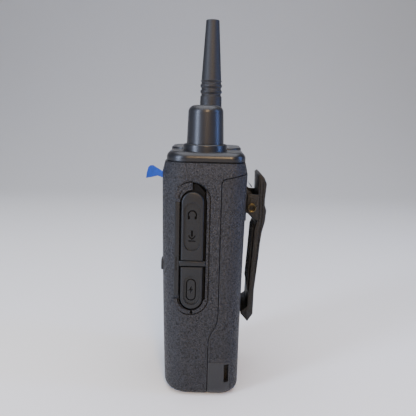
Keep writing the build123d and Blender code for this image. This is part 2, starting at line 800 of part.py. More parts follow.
def make_battery_terminals():
    face = seam_upper_y + run / 2
    return Compound(children=[
        rod_y(contact_radius + terminal_extra, (face, face + terminal_thickness), x, contact_z)
        for x in contact_places()])


def make_battery_cells():
    front = seam_upper_y + run / 2 + lid_thickness + fit
    rear = rear_at(cell_low_z) - battery_wall - cell_slack
    outer = half_width - rear_corner + cell_past_corner
    cells = [block(x, (front, rear), (cell_low_z, seam_top_z - cell_top_drop))
             for x in ((-outer, -cell_gap / 2), (cell_gap / 2, outer))]
    return Compound(children=[fillet(cell.edges().filter_by(Axis.Z), cell_round) for cell in cells])


def make_charging_contacts():
    rear = rear_at(charge_z)
    return Compound(children=[
        rod_y(charge_radius, (rear - battery_wall, rear - fit), x, charge_z) for x in charge_places()])


def make_latch_side_plates():
    skin = body_form(0, 0, housing_top) & behind_seam(-run / 2)
    plates = []
    for side in (-1, 1):
        plate = skin & latch_plate_block(side, 0)
        plate -= block((-body_width, body_width), (latch_slot_low_y, latch_slot_high_y),
                       (latch_slot_low_z, latch_slot_high_z))
        plates.append(plate)
    return Compound(children=plates)


def make_battery_latch():
    """Lever across the foot of the battery, hung on a pin, with a finger tongue at its lower edge."""
    half, back = latch_half_width, latch_thickness / 2
    lever = block((-half, half), (latch_pin_y - back, latch_pin_y + back), (latch_low_z, latch_pin_z))
    lever += rod_x(latch_boss_radius, (-half, half), latch_pin_y, latch_pin_z)
    lever += block((-half / 2, half / 2), (latch_pocket_low_y + run, latch_pin_y),
                   (latch_low_z, latch_low_z + latch_tongue))
    return lever - rod_x(latch_pin_radius + turn, (-half - 1, half + 1), latch_pin_y, latch_pin_z)


def make_latch_pin():
    half = latch_half_width + latch_pin_reach
    return rod_x(latch_pin_radius, (-half, half), latch_pin_y, latch_pin_z)


def make_latch_springs():
    span = (latch_pocket_low_y, latch_pin_y - latch_thickness / 2 - fit)
    z = latch_pin_z / 2 + 1
    return Compound(children=[
        rod_y(latch_spring_outer, span, x, z)
        - rod_y(latch_spring_inner, (span[0] - 1, span[1] + 1), x, z)
        for x in (-latch_half_width * latch_spring_share, latch_half_width * latch_spring_share)])


# Belt clip

ear_outer = clip_width / 2 - clip_cheek - bracket_gap


def make_clip_bracket():
    """Plate on the battery's back with two ears that carry the clip's pin."""
    y, z = clip_pivot_y, clip_pivot_z
    seat = rear_at(z)
    root = seat - bracket_root
    plate = block((-ear_outer, ear_outer), (root, seat + bracket_plate),
                  (z - bracket_drop, z + bracket_rise))
    ear = Polygon((root, z + bracket_rise), (seat - run, z + bracket_rise), (y - 0.1, z + 6.8),
                  (y + 2.1, z + 2), (y + 2.3, z), (y + 1.7, z - 2), (y, z - ear_foot),
                  (root, z - ear_foot), align=None)
    for side in (-1, 1):
        x = sorted((side * ear_outer, side * (ear_outer - ear_thickness)))
        plate += prism_x(ear, x)
    plate -= rod_x(clip_pin_radius, (-clip_width, clip_width), y, z)
    return plate - body_form(0, 0, housing_top)


def make_clip_pin():
    half = clip_width / 2 + run
    pin = rod_x(clip_pin_radius, (-half, half), clip_pivot_y, clip_pivot_z)
    for side in (-1, 1):
        x = sorted((side * half, side * (half + pin_head_thickness)))
        pin += rod_x(pin_head_radius, x, clip_pivot_y, clip_pivot_z)
    return pin


def make_clip_spring():
    half = clip_spring_length / 2
    coil = rod_x(clip_spring_radius, (-half, half), clip_pivot_y, clip_pivot_z)
    return coil - rod_x(clip_pin_radius + turn, (-half - 1, half + 1), clip_pivot_y, clip_pivot_z)


def make_clip_arm():
    """Sprung arm: a thumb loop above the pivot and a long tail that ends in a tooth."""
    y, z = clip_pivot_y, clip_pivot_z
    side_view = Polygon(
        (y - 1.9, z + 5.5), (y - 1.9, z + 9.8), (y - 0.9, z + 14.8), (y + 1.3, z + 17.3),
        (y + 3.9, z + 16.0), (y + 6.4, z + 13.2), (y + 6.9, z + 11.2), (y + 6.3, z + 4.2),
        (y + 7.3, z - 1.4), (y + 6.7, z - 6.8), (y + 5.5, z - 11.8), (y + 4.2, z - 26.0),
        (y + 2.8, z - 41.5), (y + 2.6, z - 54.2), (y, z - 58.3), (y - 3.7, z - 54.2),
        (y - 3.4, z - 52.6), (y - 0.4, z - 50.3), (y, z - 40.8), (y + 0.9, z - 25.8),
        (y + 1.6, z - 10.8), (y + 1.3, z - 5.6), (y - 2.7, z - 1.9), (y - 2.7, z + 0.7), align=None)
    arm = prism_x(side_view, (-clip_width / 2, clip_width / 2))
    loop = Pos(y + loop_y, z + loop_z) * SlotOverall(loop_length, loop_width, rotation=loop_lean)
    arm -= prism_x(loop, (-clip_width, clip_width))
    inner = clip_width / 2 - clip_cheek
    arm -= block((-inner, inner), (0, y + ear_room_y), (z - ear_room_low, z + ear_room_high))
    arm -= block((-inner, inner), (0, y + root_room_y), (z + ear_foot, z + root_room_high))
    arm -= rod_x(clip_pin_radius + turn, (-clip_width, clip_width), y, z)
    return arm


pieces["front_housing"] = make_front_housing()
pieces["chassis"] = make_chassis()
pieces["top_deck"] = make_top_deck()
pieces["deck_gasket"] = make_deck_gasket()
pieces["status_light_pipe"] = light_pipe(deck_low)
pieces["volume_knob"] = make_knob()
pieces["knob_insert"] = make_knob_insert()
pieces["encoder_shaft"] = make_encoder_shaft()
pieces["volume_encoder"] = make_volume_encoder()
pieces["antenna_whip"] = make_antenna_whip()
pieces["antenna_element"] = make_antenna_element()
pieces["antenna_stud"] = make_antenna_stud()
pieces["antenna_socket"] = make_antenna_socket()
pieces["display_lens"] = lens_recess(0, (lens_y, lens_y + lens_thickness))
pieces["display_film"] = lens_recess(-film_margin, (film_y, lens_y))
pieces["film_pull_tab"] = make_film_pull_tab()
pieces["lcd_module"] = make_lcd_module()
for number, x in enumerate(key_places(), start=1):
    pieces[f"menu_key_{number}"] = make_menu_key(x)
pieces["keypad_membrane"] = make_keypad_membrane()
pieces["speaker_mesh"] = make_speaker_mesh()
pieces["speaker"] = make_speaker()
pieces["microphone"] = make_microphone()
side_keys = (("talk_button", talk_proud), ("side_key_upper", small_key_proud),
             ("side_key_lower", small_key_proud))
for (name, proud), (low, high) in zip(side_keys, side_key_spans()):
    pieces[name] = make_side_key(low, high, proud)
pieces["side_key_membrane"] = make_side_key_membrane()
pieces["cover_anchor"] = make_cover_anchor()
pieces["headset_flap"] = make_headset_flap()
pieces["usb_flap"] = make_usb_flap()
pieces["headset_jack"] = make_jack(headset_z, headset_bore)
pieces["microphone_jack"] = make_jack(microphone_jack_z, microphone_bore)
pieces["usb_c_socket"] = make_usb_c_socket()
pieces["jack_board"] = make_jack_board()
pieces["main_board"] = make_main_board()
pieces["shield_can"] = make_shield_can()
pieces["housing_screws"] = make_housing_screws()
pieces["battery_contacts"] = make_battery_contacts()
pieces["battery_shell"] = make_battery_shell()
pieces["battery_lid"] = make_battery_lid()
pieces["battery_terminals"] = make_battery_terminals()
pieces["battery_cells"] = make_battery_cells()
pieces["charging_contacts"] = make_charging_contacts()
pieces["latch_side_plates"] = make_latch_side_plates()
pieces["battery_latch"] = make_battery_latch()
pieces["latch_pin"] = make_latch_pin()
pieces["latch_springs"] = make_latch_springs()
pieces["clip_bracket"] = make_clip_bracket()
pieces["clip_pin"] = make_clip_pin()
pieces["clip_spring"] = make_clip_spring()
pieces["clip_arm"] = make_clip_arm()

os.makedirs("parts", exist_ok=True)
for name, shape in pieces.items():
    export_step(shape, f"parts/{name}.step")
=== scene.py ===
from math import cos, pi, radians, sin

import bmesh
import bpy
from mathutils import Euler, Matrix, Vector


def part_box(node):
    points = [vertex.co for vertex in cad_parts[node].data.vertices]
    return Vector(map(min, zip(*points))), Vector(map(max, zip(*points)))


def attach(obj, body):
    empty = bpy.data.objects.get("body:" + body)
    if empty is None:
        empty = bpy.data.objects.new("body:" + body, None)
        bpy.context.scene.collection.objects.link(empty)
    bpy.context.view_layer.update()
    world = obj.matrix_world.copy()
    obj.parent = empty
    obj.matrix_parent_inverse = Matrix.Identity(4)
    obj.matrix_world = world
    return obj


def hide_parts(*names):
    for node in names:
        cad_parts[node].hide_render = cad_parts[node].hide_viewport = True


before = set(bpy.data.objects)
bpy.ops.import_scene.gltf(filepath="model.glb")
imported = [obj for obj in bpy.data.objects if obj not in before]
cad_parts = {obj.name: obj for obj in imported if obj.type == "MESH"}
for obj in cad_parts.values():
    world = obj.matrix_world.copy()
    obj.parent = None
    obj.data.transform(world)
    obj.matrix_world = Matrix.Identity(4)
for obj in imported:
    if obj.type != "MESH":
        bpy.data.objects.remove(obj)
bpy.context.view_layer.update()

MM = 0.001

# Camera: hand height, looking at the accessory side from a quarter of a metre, tipped down
# a little and rolled a touch so that the radio leans to the right in the frame.
camera_data = bpy.data.cameras.new("camera")
camera_data.lens = 45.0
camera_data.sensor_width = 36.0
camera_data.clip_start = 0.01
camera = bpy.data.objects.new("camera", camera_data)
bpy.context.scene.collection.objects.link(camera)
pitch, yaw, roll = 10.35, 0.093, 1.46
level_aim = Euler((radians(90 - pitch), 0, radians(90 + yaw))).to_matrix()
aim = level_aim @ Matrix.Rotation(radians(roll), 3, "Z")
camera.matrix_world = Matrix.Translation((0.25955, 0.00228, 0.13539)) @ aim.to_4x4()
bpy.context.scene.camera = camera


# Studio: a pale plain floor that curves up behind, a tall cool window light to the front-left,
# a small warm lamp over the camera and a weak blue light behind the belt clip.
def linear(hexcode):
    """Turns a colour written as sRGB hex into linear red, green, blue and a full alpha."""
    channels = [int(hexcode[i:i + 2], 16) / 255 for i in (1, 3, 5)]
    return [c / 12.92 if c <= 0.04045 else ((c + 0.055) / 1.055) ** 2.4 for c in channels] + [1.0]


def soft_light(name, place, target, size, power, colour):
    """Rectangular lamp that faces its target."""
    data = bpy.data.lights.new(name, "AREA")
    data.shape = "RECTANGLE"
    data.size, data.size_y = size
    data.energy = power
    data.color = linear(colour)[:3]
    lamp = bpy.data.objects.new(name, data)
    bpy.context.scene.collection.objects.link(lamp)
    lamp.location = place
    lamp.rotation_euler = (Vector(target) - Vector(place)).to_track_quat("-Z", "Y").to_euler()


soft_light("window_light", (0.48, -0.62, 0.28), (0, 0, 0.08), (0.16, 0.55), 7.0, "#cfdeff")
soft_light("lamp_light", (0.62, 0.10, 0.42), (0, 0, 0.09), (0.10, 0.10), 3.2, "#ffd7a0")
soft_light("top_light", (0.05, 0.0, 0.75), (0, 0, 0.1), (0.9, 0.9), 8.0, "#f4f6ff")
soft_light("rear_light", (0.10, 0.60, 0.25), (0, 0, 0.1), (0.12, 0.4), 2.0, "#7fa8ff")

world = bpy.data.worlds.new("room")
bpy.context.scene.world = world
world.use_nodes = True
world.node_tree.nodes["Background"].inputs["Color"].default_value = linear("#c9ccd2")
world.node_tree.nodes["Background"].inputs["Strength"].default_value = 0.22

sweep = bmesh.new()
bmesh.ops.create_grid(sweep, x_segments=1, y_segments=1, size=1.6)
bmesh.ops.translate(sweep, verts=sweep.verts, vec=(0.4, 0, 0))
wall_edge = [edge for edge in sweep.edges if all(vert.co.x < -1 for vert in edge.verts)]
raised = bmesh.ops.extrude_edge_only(sweep, edges=wall_edge)["geom"]
raised_verts = [part for part in raised if isinstance(part, bmesh.types.BMVert)]
bmesh.ops.translate(sweep, verts=raised_verts, vec=(-0.2, 0, 1.6))
crease = [edge for edge in sweep.edges if len(edge.link_faces) == 2]
bmesh.ops.bevel(sweep, geom=crease, offset=0.6, segments=24, profile=0.5, affect="EDGES", material=-1)
floor_mesh = bpy.data.meshes.new("floor")
sweep.to_mesh(floor_mesh)
sweep.free()
for face in floor_mesh.polygons:
    face.use_smooth = True
floor = bpy.data.objects.new("floor", floor_mesh)
bpy.context.scene.collection.objects.link(floor)
floor_paper = bpy.data.materials.new("matte backdrop paper")
floor_paper.use_nodes = True
paper_shader = floor_paper.node_tree.nodes["Principled BSDF"]
paper_shader.inputs["Base Color"].default_value = linear("#eeeeec")
paper_shader.inputs["Roughness"].default_value = 0.95
floor_mesh.materials.append(floor_paper)


# Housing and battery shell: black polycarbonate-ABS, moulded in a spark-eroded tool, so the
# skin is a fine irregular grain that breaks the window light into specks.
def node(material, kind, inputs=None, **settings):
    """Adds one node to a material, sets it, and fills or links its inputs."""
    made = material.node_tree.nodes.new(kind)
    for name, value in settings.items():
        setattr(made, name, value)
    for name, value in (inputs or {}).items():
        socket = made.inputs[name]
        if isinstance(value, bpy.types.NodeSocket):
            material.node_tree.links.new(value, socket)
        else:
            socket.default_value = value
    return made


def new_material(name, colour, roughness, **shader):
    """A material with only its shader, coloured and with its constants set."""
    material = bpy.data.materials.new(name)
    material.use_nodes = True
    surface = material.node_tree.nodes["Principled BSDF"]
    surface.inputs["Base Color"].default_value = linear(colour)
    surface.inputs["Roughness"].default_value = roughness
    for socket, value in shader.items():
        surface.inputs[socket.replace("_", " ")].default_value = value
    return material


def roughen(material, grain_mm, depth_mm, dark, light, low, high, edge_mm=0.25):
    """Gives a material one irregular grain: relief, a colour that runs from painted shade in its pits to a
    painted highlight on its peaks, and gloss.
    """
    surface = material.node_tree.nodes["Principled BSDF"]
    place = node(material, "ShaderNodeTexCoord")
    grain = node(material, "ShaderNodeTexNoise", {
        "Vector": place.outputs["Object"], "Scale": 1 / (grain_mm * MM), "Detail": 2.0, "Roughness": 0.6})
    rounded = node(material, "ShaderNodeBevel", {"Radius": edge_mm * MM}, samples=4)
    relief = node(material, "ShaderNodeBump", {
        "Height": grain.outputs["Fac"], "Distance": depth_mm * MM, "Strength": 1.0,
        "Normal": rounded.outputs["Normal"]})
    share = node(material, "ShaderNodeMapRange", {
        "Value": grain.outputs["Fac"], "From Min": 0.3, "From Max": 0.9})
    # Painted shade and highlight: the grain's pits are coloured darker and its peaks lighter.
    grain_shade_and_highlight = node(material, "ShaderNodeMix", {
        "Factor": share.outputs["Result"], "A": linear(dark), "B": linear(light)}, data_type="RGBA")
    gloss = node(material, "ShaderNodeMapRange", {
        "Value": grain.outputs["Fac"], "From Min": 0.3, "From Max": 0.7, "To Min": low, "To Max": high})
    links = material.node_tree.links
    links.new(relief.outputs["Normal"], surface.inputs["Normal"])
    links.new(grain_shade_and_highlight.outputs["Result"], surface.inputs["Base Color"])
    links.new(gloss.outputs["Result"], surface.inputs["Roughness"])
    return material


# The real grain is about 0.3 mm across and is drawn coarser, so that it shows. Its peaks are
# painted much lighter than its pits, as painted glints on the peaks and painted shade in the pits.
eroded_plastic = roughen(
    new_material("spark eroded PC-ABS", "#17181b", 0.5, IOR=1.38),
    0.75, 0.6, "#020203", "#3c3d42", 0.7, 0.26)


def paint(material, *names):
    """Puts a material on the named CAD pieces."""
    for name in names:
        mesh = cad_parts[name].data
        mesh.materials.clear()
        mesh.materials.append(material)


paint(eroded_plastic, "front_housing", "battery_shell", "battery_lid")


# Top deck, latch plates and clip bracket: smooth mouldings in the housing's plastic, polished
# in the tool, so they take long soft highlights where the housing only sparkles.
polished_plastic = roughen(
    new_material("satin PC-ABS", "#15161a", 0.35, IOR=1.5, Coat_Weight=0.12, Coat_Roughness=0.25),
    1.1, 0.02, "#131417", "#1b1c20", 0.42, 0.30, edge_mm=0.35)
paint(polished_plastic, "top_deck", "latch_side_plates", "clip_bracket")

# Deck gasket and the two key membranes: thin silicone mouldings, compression moulded and left
# matte. The gasket is held down by the deck and the membranes by the housing.
silicone = roughen(new_material("moulded silicone", "#1a1b1d", 0.6, IOR=1.42),
                   0.8, 0.02, "#141517", "#202124", 0.68, 0.52)
paint(silicone, "deck_gasket", "keypad_membrane", "side_key_membrane")

# Volume knob: smooth ABS with a soft-touch coat, and a brass insert that is pushed onto the
# encoder's shaft. Fingers have worn it a little glossier.
soft_touch = roughen(
    new_material("soft-touch coated ABS", "#1c1d21", 0.38, IOR=1.48, Coat_Weight=0.15, Coat_Roughness=0.3),
    0.5, 0.012, "#18191c", "#232428", 0.44, 0.34, edge_mm=0.3)
paint(soft_touch, "volume_knob")

# Antenna: rubber moulded over a coil, matte with a fine bloom. It screws into the deck by the
# brass stud at its foot.
antenna_rubber = roughen(new_material("moulded rubber", "#17181a", 0.6, IOR=1.5),
                         0.45, 0.07, "#121315", "#222326", 0.66, 0.48)
paint(antenna_rubber, "antenna_whip")

# Keys on the front and on the talk side: silicone rubber, matte, with a light moulding bloom.
# Each stands in its own hole in the housing.
key_rubber = roughen(new_material("silicone rubber keys", "#1d1e20", 0.6, IOR=1.42),
                     0.5, 0.05, "#18191b", "#27282b", 0.66, 0.5)
paint(key_rubber, "menu_key_1", "menu_key_2", "menu_key_3", "menu_key_4",
      "talk_button", "side_key_upper", "side_key_lower")

# Metal and electrical pieces: each plain, as bought in or as it leaves its tool, and fixed
# inside the housing, the deck or the battery.
cast_alloy = roughen(new_material("die-cast magnesium", "#8d9094", 0.5, Metallic=1.0),
                     0.7, 0.06, "#7b7e82", "#9da0a4", 0.58, 0.42)
paint(cast_alloy, "chassis")
turned_brass = roughen(new_material("turned brass", "#b58a4c", 0.3, Metallic=1.0),
                       0.4, 0.02, "#a27a3f", "#c79b5b", 0.38, 0.24)
paint(turned_brass, "antenna_stud", "antenna_socket", "knob_insert")
spring_steel = roughen(new_material("drawn steel", "#8e9094", 0.3, Metallic=1.0),
                       0.4, 0.02, "#7e8084", "#a0a2a6", 0.38, 0.25)
paint(spring_steel, "encoder_shaft", "antenna_element", "housing_screws", "latch_pin",
      "latch_springs", "clip_spring")
gold_plate = roughen(new_material("gold plate", "#d8b25e", 0.22, Metallic=1.0),
                     0.5, 0.01, "#cda452", "#e2c072", 0.28, 0.16)
paint(gold_plate, "battery_contacts", "battery_terminals", "charging_contacts")
nickel_plate = roughen(new_material("nickel plate", "#b9b6ae", 0.25, Metallic=1.0),
                       0.6, 0.01, "#adaaa2", "#c4c1b9", 0.32, 0.2)
paint(nickel_plate, "shield_can", "usb_c_socket", "microphone")
glass_nylon = roughen(new_material("glass-filled nylon", "#16171a", 0.5, IOR=1.53),
                      0.7, 0.16, "#111215", "#232428", 0.6, 0.4)
paint(glass_nylon, "clip_arm", "battery_latch", "headset_jack", "microphone_jack",
      "volume_encoder", "speaker")
solder_mask = roughen(new_material("green solder mask", "#14532e", 0.3, IOR=1.5, Coat_Weight=0.4),
                      1.5, 0.01, "#104626", "#1a6238", 0.34, 0.24)
paint(solder_mask, "main_board", "jack_board")
pouch_foil = roughen(new_material("laminated foil pouch", "#9aa0a6", 0.3, Metallic=0.7),
                     3.0, 0.05, "#8c9298", "#a8adb3", 0.36, 0.26)
paint(pouch_foil, "battery_cells")
acoustic_mesh = roughen(new_material("woven acoustic mesh", "#0e0f10", 0.8),
                        0.35, 0.1, "#08090a", "#191a1b", 0.85, 0.7)
paint(acoustic_mesh, "speaker_mesh")

# Display: a hard-coated window bonded over a dark module, with its clear protective film still
# on. The status light's pipe is clear acrylic and the film's tab is printed blue.
window_glass = roughen(new_material("hard-coated window", "#07090b", 0.05, IOR=1.52, Coat_Weight=0.3),
                       4.0, 0.002, "#06080a", "#0a0c0f", 0.07, 0.04)
paint(window_glass, "display_lens", "lcd_module")
clear_film = roughen(new_material("clear polyester film", "#4a5054", 0.08, IOR=1.5, Alpha=0.08),
                     6.0, 0.02, "#444a4e", "#50565a", 0.1, 0.05)
paint(clear_film, "display_film")
clear_acrylic = roughen(new_material("clear acrylic", "#e6ecee", 0.08, IOR=1.49, Transmission_Weight=0.8),
                        2.0, 0.004, "#dfe6e8", "#edf2f4", 0.1, 0.05)
paint(clear_acrylic, "status_light_pipe")
blue_film = roughen(new_material("blue printed polyester film", "#0240a8", 0.35, IOR=1.5),
                    2.5, 0.02, "#02388f", "#0449be", 0.42, 0.32)

# Accessory cover: two flaps and the strip between them, moulded in one grade of satin silicone.
# Each flap is a flat lid with a raised panel, a shallow round-ended pocket and cut-in symbols.
cover_rubber = roughen(new_material("satin silicone cover", "#15171a", 0.45, IOR=1.42),
                       0.5, 0.03, "#0f1113", "#1d1f22", 0.5, 0.38, edge_mm=0.3)
same = 1e-4         # closer than this, in millimetres, is the same place
round_steps = 72    # sides of a full turn in the cover
far_out = 40        # clears the cover's sides in any cut


def stand(shape, name):
    """Turns a bmesh drawn in millimetres into an object in place."""
    bmesh.ops.scale(shape, vec=(MM, MM, MM), verts=shape.verts)
    bmesh.ops.recalc_face_normals(shape, faces=shape.faces)
    mesh = bpy.data.meshes.new(name)
    shape.to_mesh(mesh)
    shape.free()
    piece = bpy.data.objects.new(name, mesh)
    bpy.context.scene.collection.objects.link(piece)
    return piece


def carve(piece, others, operation="DIFFERENCE"):
    """Cuts other solids out of a piece, or joins them to it, and removes them."""
    for other in others:
        step = piece.modifiers.new("carve", "BOOLEAN")
        step.operation, step.solver, step.object = operation, "EXACT", other
    graph = bpy.context.evaluated_depsgraph_get()
    piece.data = bpy.data.meshes.new_from_object(piece.evaluated_get(graph))
    piece.modifiers.clear()
    for other in others:
        bpy.data.objects.remove(other)


def dress(piece, material, body):
    """Gives a finished piece its material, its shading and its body."""
    piece.data.materials.clear()
    piece.data.materials.append(material)
    for face in piece.data.polygons:
        face.use_smooth = True
    piece.data.set_sharp_from_angle(angle=radians(32))
    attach(piece, body)


def thicken(shape, x_low, x_high, rim):
    """Pushes a flat face at x_low out to x_high and rounds its outer rim."""
    grown = bmesh.ops.extrude_face_region(shape, geom=shape.faces[:], use_keep_orig=True)["geom"]
    grown_verts = [part for part in grown if isinstance(part, bmesh.types.BMVert)]
    bmesh.ops.translate(shape, verts=grown_verts, vec=(x_high - x_low, 0, 0))
    if rim:
        edges = [edge for edge in shape.edges if all(abs(vert.co.x - x_high) < same for vert in edge.verts)]
        bmesh.ops.bevel(shape, geom=edges, offset=rim, segments=3, profile=0.5,
                        affect="EDGES", material=-1)
    return shape


def stadium(y, radius, low, high, x_low, x_high, rim=0.0, name="stadium"):
    """Upright round-ended block that faces +X."""
    shape = bmesh.new()
    middle = (low + high) / 2
    half_step = Matrix.Rotation(pi / round_steps, 4, "X")
    bmesh.ops.create_circle(shape, cap_ends=True, segments=round_steps, radius=radius,
                            matrix=half_step @ Matrix.Rotation(pi / 2, 4, "Y"))
    for vert in shape.verts:
        vert.co.z += ((high - low) / 2 - radius) * (1 if vert.co.z > 0 else -1)
    bmesh.ops.translate(shape, verts=shape.verts, vec=(x_low, y, middle))
    return stand(thicken(shape, x_low, x_high, rim), name)


def slab(corners, x_low, x_high, rim=0.0, name="slab"):
    """Block that faces +X with a straight-sided outline given as (Y, Z) corners."""
    shape = bmesh.new()
    shape.faces.new([shape.verts.new((x_low, y, z)) for y, z in corners])
    return stand(thicken(shape, x_low, x_high, rim), name)


def ring_arc(y, z, radius, width, begin, sweep_angle, x_low, x_high):
    """Part of a flat ring that faces +X. Angles run from the radio's back up over its top."""
    shape = bmesh.new()
    bmesh.ops.create_grid(shape, x_segments=1, y_segments=1, size=0.5,
                          matrix=Matrix.Diagonal((x_high - x_low, width, 1, 1)))
    bmesh.ops.translate(shape, verts=shape.verts, vec=((x_low + x_high) / 2, radius, 0))
    bmesh.ops.rotate(shape, verts=shape.verts, matrix=Matrix.Rotation(begin, 3, "X"))
    bmesh.ops.spin(shape, geom=shape.faces[:], cent=(0, 0, 0), axis=(1, 0, 0), angle=sweep_angle,
                   steps=28, use_duplicate=False)
    bmesh.ops.translate(shape, verts=shape.verts, vec=(0, y, z))
    return stand(shape, "arc")


skin_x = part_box("front_housing")[1].x / MM
upper_low, upper_high = (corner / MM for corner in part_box("headset_flap"))
lower_low, lower_high = (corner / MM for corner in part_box("usb_flap"))
anchor_low, anchor_high = (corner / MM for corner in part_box("cover_anchor"))
flap_middle = (upper_low.y + upper_high.y) / 2
flap_radius = (upper_high.y - upper_low.y) / 2
lid_back = skin_x - 3.0
lid_face = skin_x - 0.9
panel_face = skin_x + 0.55
panel_y, panel_radius = flap_middle - 0.3, flap_radius - 0.75
pocket_y, pocket_radius, pocket_depth = flap_middle - 0.4, 3.85, 0.7
cut_depth = 0.5
lid_rim, tab_rim, panel_rim, panel_step = 0.35, 0.3, 0.7, 0.6
pocket_floor = panel_face - pocket_depth
lid_top = upper_high.z - 3.3
lid_foot = lower_low.z + 1.65


# Symbols: cut into the pocket's floor by the tool. Their floors and lower walls are given a
# near-black rubber as painted shade, and left rough.
symbol_shade_rubber = roughen(new_material("near-black silicone painted as shade in the symbols", "#050506", 0.8, IOR=1.3),
                        0.4, 0.05, "#030303", "#09090a", 0.85, 0.75, edge_mm=0.1)
floor_share = 0.8    # share of a symbol's depth that counts as its floor


def paint_symbol_shade(flap):
    """Puts the near-black rough rubber, painted shade, on the floors and lower walls of the symbols."""
    flap.data.materials.append(symbol_shade_rubber)
    for face in flap.data.polygons:
        if abs(face.center.x / MM - (pocket_floor - cut_depth)) < cut_depth * floor_share:
            face.material_index = 1


def blank(low, high, tab, name):
    """Flap lid with its raised panel, squared off where it meets the hinge bar, and a finger tab."""
    upper = name == "headset_cover"
    reach = 2 * flap_radius
    ends = (low - reach, high) if upper else (low, high + reach)
    lid = stadium(flap_middle, flap_radius, *ends, lid_back, lid_face, lid_rim, name)
    panel_ends = (low - reach, high - panel_step) if upper else (low + panel_step, high + reach)
    panel = stadium(panel_y, panel_radius, *panel_ends, lid_face - 0.5, panel_face, panel_rim, "panel")
    carve(lid, [slab(tab, lid_back, lid_face, tab_rim), panel], "UNION")
    waste = (low - 2 * reach, low) if upper else (high, high + 2 * reach)
    corners = [(-far_out, waste[0]), (far_out, waste[0]), (far_out, waste[1]), (-far_out, waste[1])]
    edge = low if upper else high
    ledge = edge + 0.5 if upper else edge - 0.5
    slope = slab([(-far_out, edge), (far_out, edge), (far_out, ledge), (-far_out, ledge)],
                 panel_face - 0.25, skin_x + 5)
    carve(lid, [slab(corners, 0, 60), slope])
    return lid


upper_flap = blank(upper_low.z, lid_top, [
    (flap_middle - 0.9, lid_top - 3.0), (flap_middle + 5.0, lid_top - 4.2),
    (flap_middle + 5.4, lid_top - 0.9), (flap_middle + 2.2, lid_top + 2.6),
    (flap_middle - 0.3, lid_top + 3.2)], "headset_cover")
headset_z, microphone_z = 89.6, 80.0
engraving = (pocket_floor - cut_depth, skin_x + 2)
carve(upper_flap, [stadium(pocket_y, pocket_radius, 72.8, 95.4, pocket_floor, skin_x + 2)])
marks = [ring_arc(pocket_y, headset_z, 1.85, 0.6, radians(-36), radians(252), *engraving)]
for side in (-1, 1):
    marks.append(stadium(pocket_y + side * 1.55, 0.5, headset_z - 2.1, headset_z - 0.5, *engraving))
carve(upper_flap, marks)
marks = [stadium(pocket_y, 0.42, microphone_z - 0.6, microphone_z + 2.4, *engraving)]
marks.append(stadium(pocket_y, 0.22, microphone_z - 2.3, microphone_z - 1.2, *engraving))
marks.append(slab([(pocket_y - 1.7, microphone_z - 2.9), (pocket_y + 1.7, microphone_z - 2.9),
                   (pocket_y + 1.7, microphone_z - 2.45), (pocket_y - 1.7, microphone_z - 2.45)], *engraving))
carve(upper_flap, marks)
carve(upper_flap, [ring_arc(pocket_y, microphone_z, 1.4, 0.45, pi, pi, *engraving)])
dress(upper_flap, cover_rubber, "headset_flap")
paint_symbol_shade(upper_flap)
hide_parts("headset_flap")

lower_flap = blank(lid_foot, lower_high.z, [
    (flap_middle - 0.9, lid_foot + 3.0), (flap_middle - 0.5, lid_foot - 1.5),
    (flap_middle + 2.4, lid_foot - 1.1), (flap_middle + 4.6, lid_foot + 0.9),
    (flap_middle + 5.2, lid_foot + 4.0)], "usb_cover")
usb_z = 54.0
carve(lower_flap, [stadium(pocket_y + 0.3, 3.75, 46.8, 61.0, pocket_floor, skin_x + 2)])
outline = stadium(pocket_y, 2.3, usb_z - 5.3, usb_z + 5.3, *engraving)
island = stadium(pocket_y, 1.85, usb_z - 4.85, usb_z + 4.85, engraving[0] - 1, engraving[1] + 1)
carve(outline, [island])
bolt = slab([(pocket_y + 0.35, usb_z + 2.0), (pocket_y - 0.95, usb_z - 0.35), (pocket_y - 0.1, usb_z - 0.2),
             (pocket_y - 0.35, usb_z - 2.0), (pocket_y + 0.95, usb_z + 0.35), (pocket_y + 0.1, usb_z + 0.2)],
            *engraving)
carve(lower_flap, [outline, bolt])
dress(lower_flap, cover_rubber, "usb_flap")
paint_symbol_shade(lower_flap)
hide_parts("usb_flap")

bar_low, bar_high = upper_low.z - 2.9, upper_low.z - 0.3
strip = slab([(anchor_low.y, anchor_low.z), (upper_low.y - 0.3, anchor_low.z),
              (upper_low.y - 0.3, anchor_high.z), (anchor_low.y, anchor_high.z)],
             anchor_high.x - 1.4, anchor_high.x - 0.35, 0.3, "cover_strip")
bar = slab([(anchor_low.y + 2.4, bar_low), (anchor_high.y, bar_low),
            (anchor_high.y, bar_high), (anchor_low.y + 2.4, bar_high)],
           anchor_low.x, anchor_high.x + 0.1, 0.6)
carve(strip, [bar], "UNION")
notch = slab([(anchor_low.y + 0.9, bar_low - 2.0), (anchor_low.y + 1.5, bar_low - 2.0),
              (anchor_low.y + 1.5, bar_high + 1.6), (anchor_low.y + 0.9, bar_high + 1.6)],
             anchor_high.x - 0.75, anchor_high.x + 1)
carve(strip, [notch])
dress(strip, cover_rubber, "radio")
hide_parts("cover_anchor")

# Guards round the cover: low ridges of the housing's own plastic that follow the bay's round ends
# and keep a belt or a pocket seam from lifting the flaps.
guard_radius, guard_width = flap_radius + 1.15, 1.7
guard_x = (skin_x - 3.0, skin_x + 0.1)
border_y = flap_middle - 0.7
top_z, foot_z = upper_high.z - flap_radius - 1.6, lower_low.z + flap_radius + 1.6
arcs = (("guard_top", top_z, radians(93), radians(84)),
        ("guard_foot_front", foot_z, radians(183), radians(78)),
        ("guard_foot_rear", foot_z, radians(279), radians(74)))
for name, z, begin, sweep_angle in arcs:
    guard = ring_arc(border_y, z, guard_radius, guard_width, begin, sweep_angle, *guard_x)
    guard.name = name
    dress(guard, eroded_plastic, "radio")


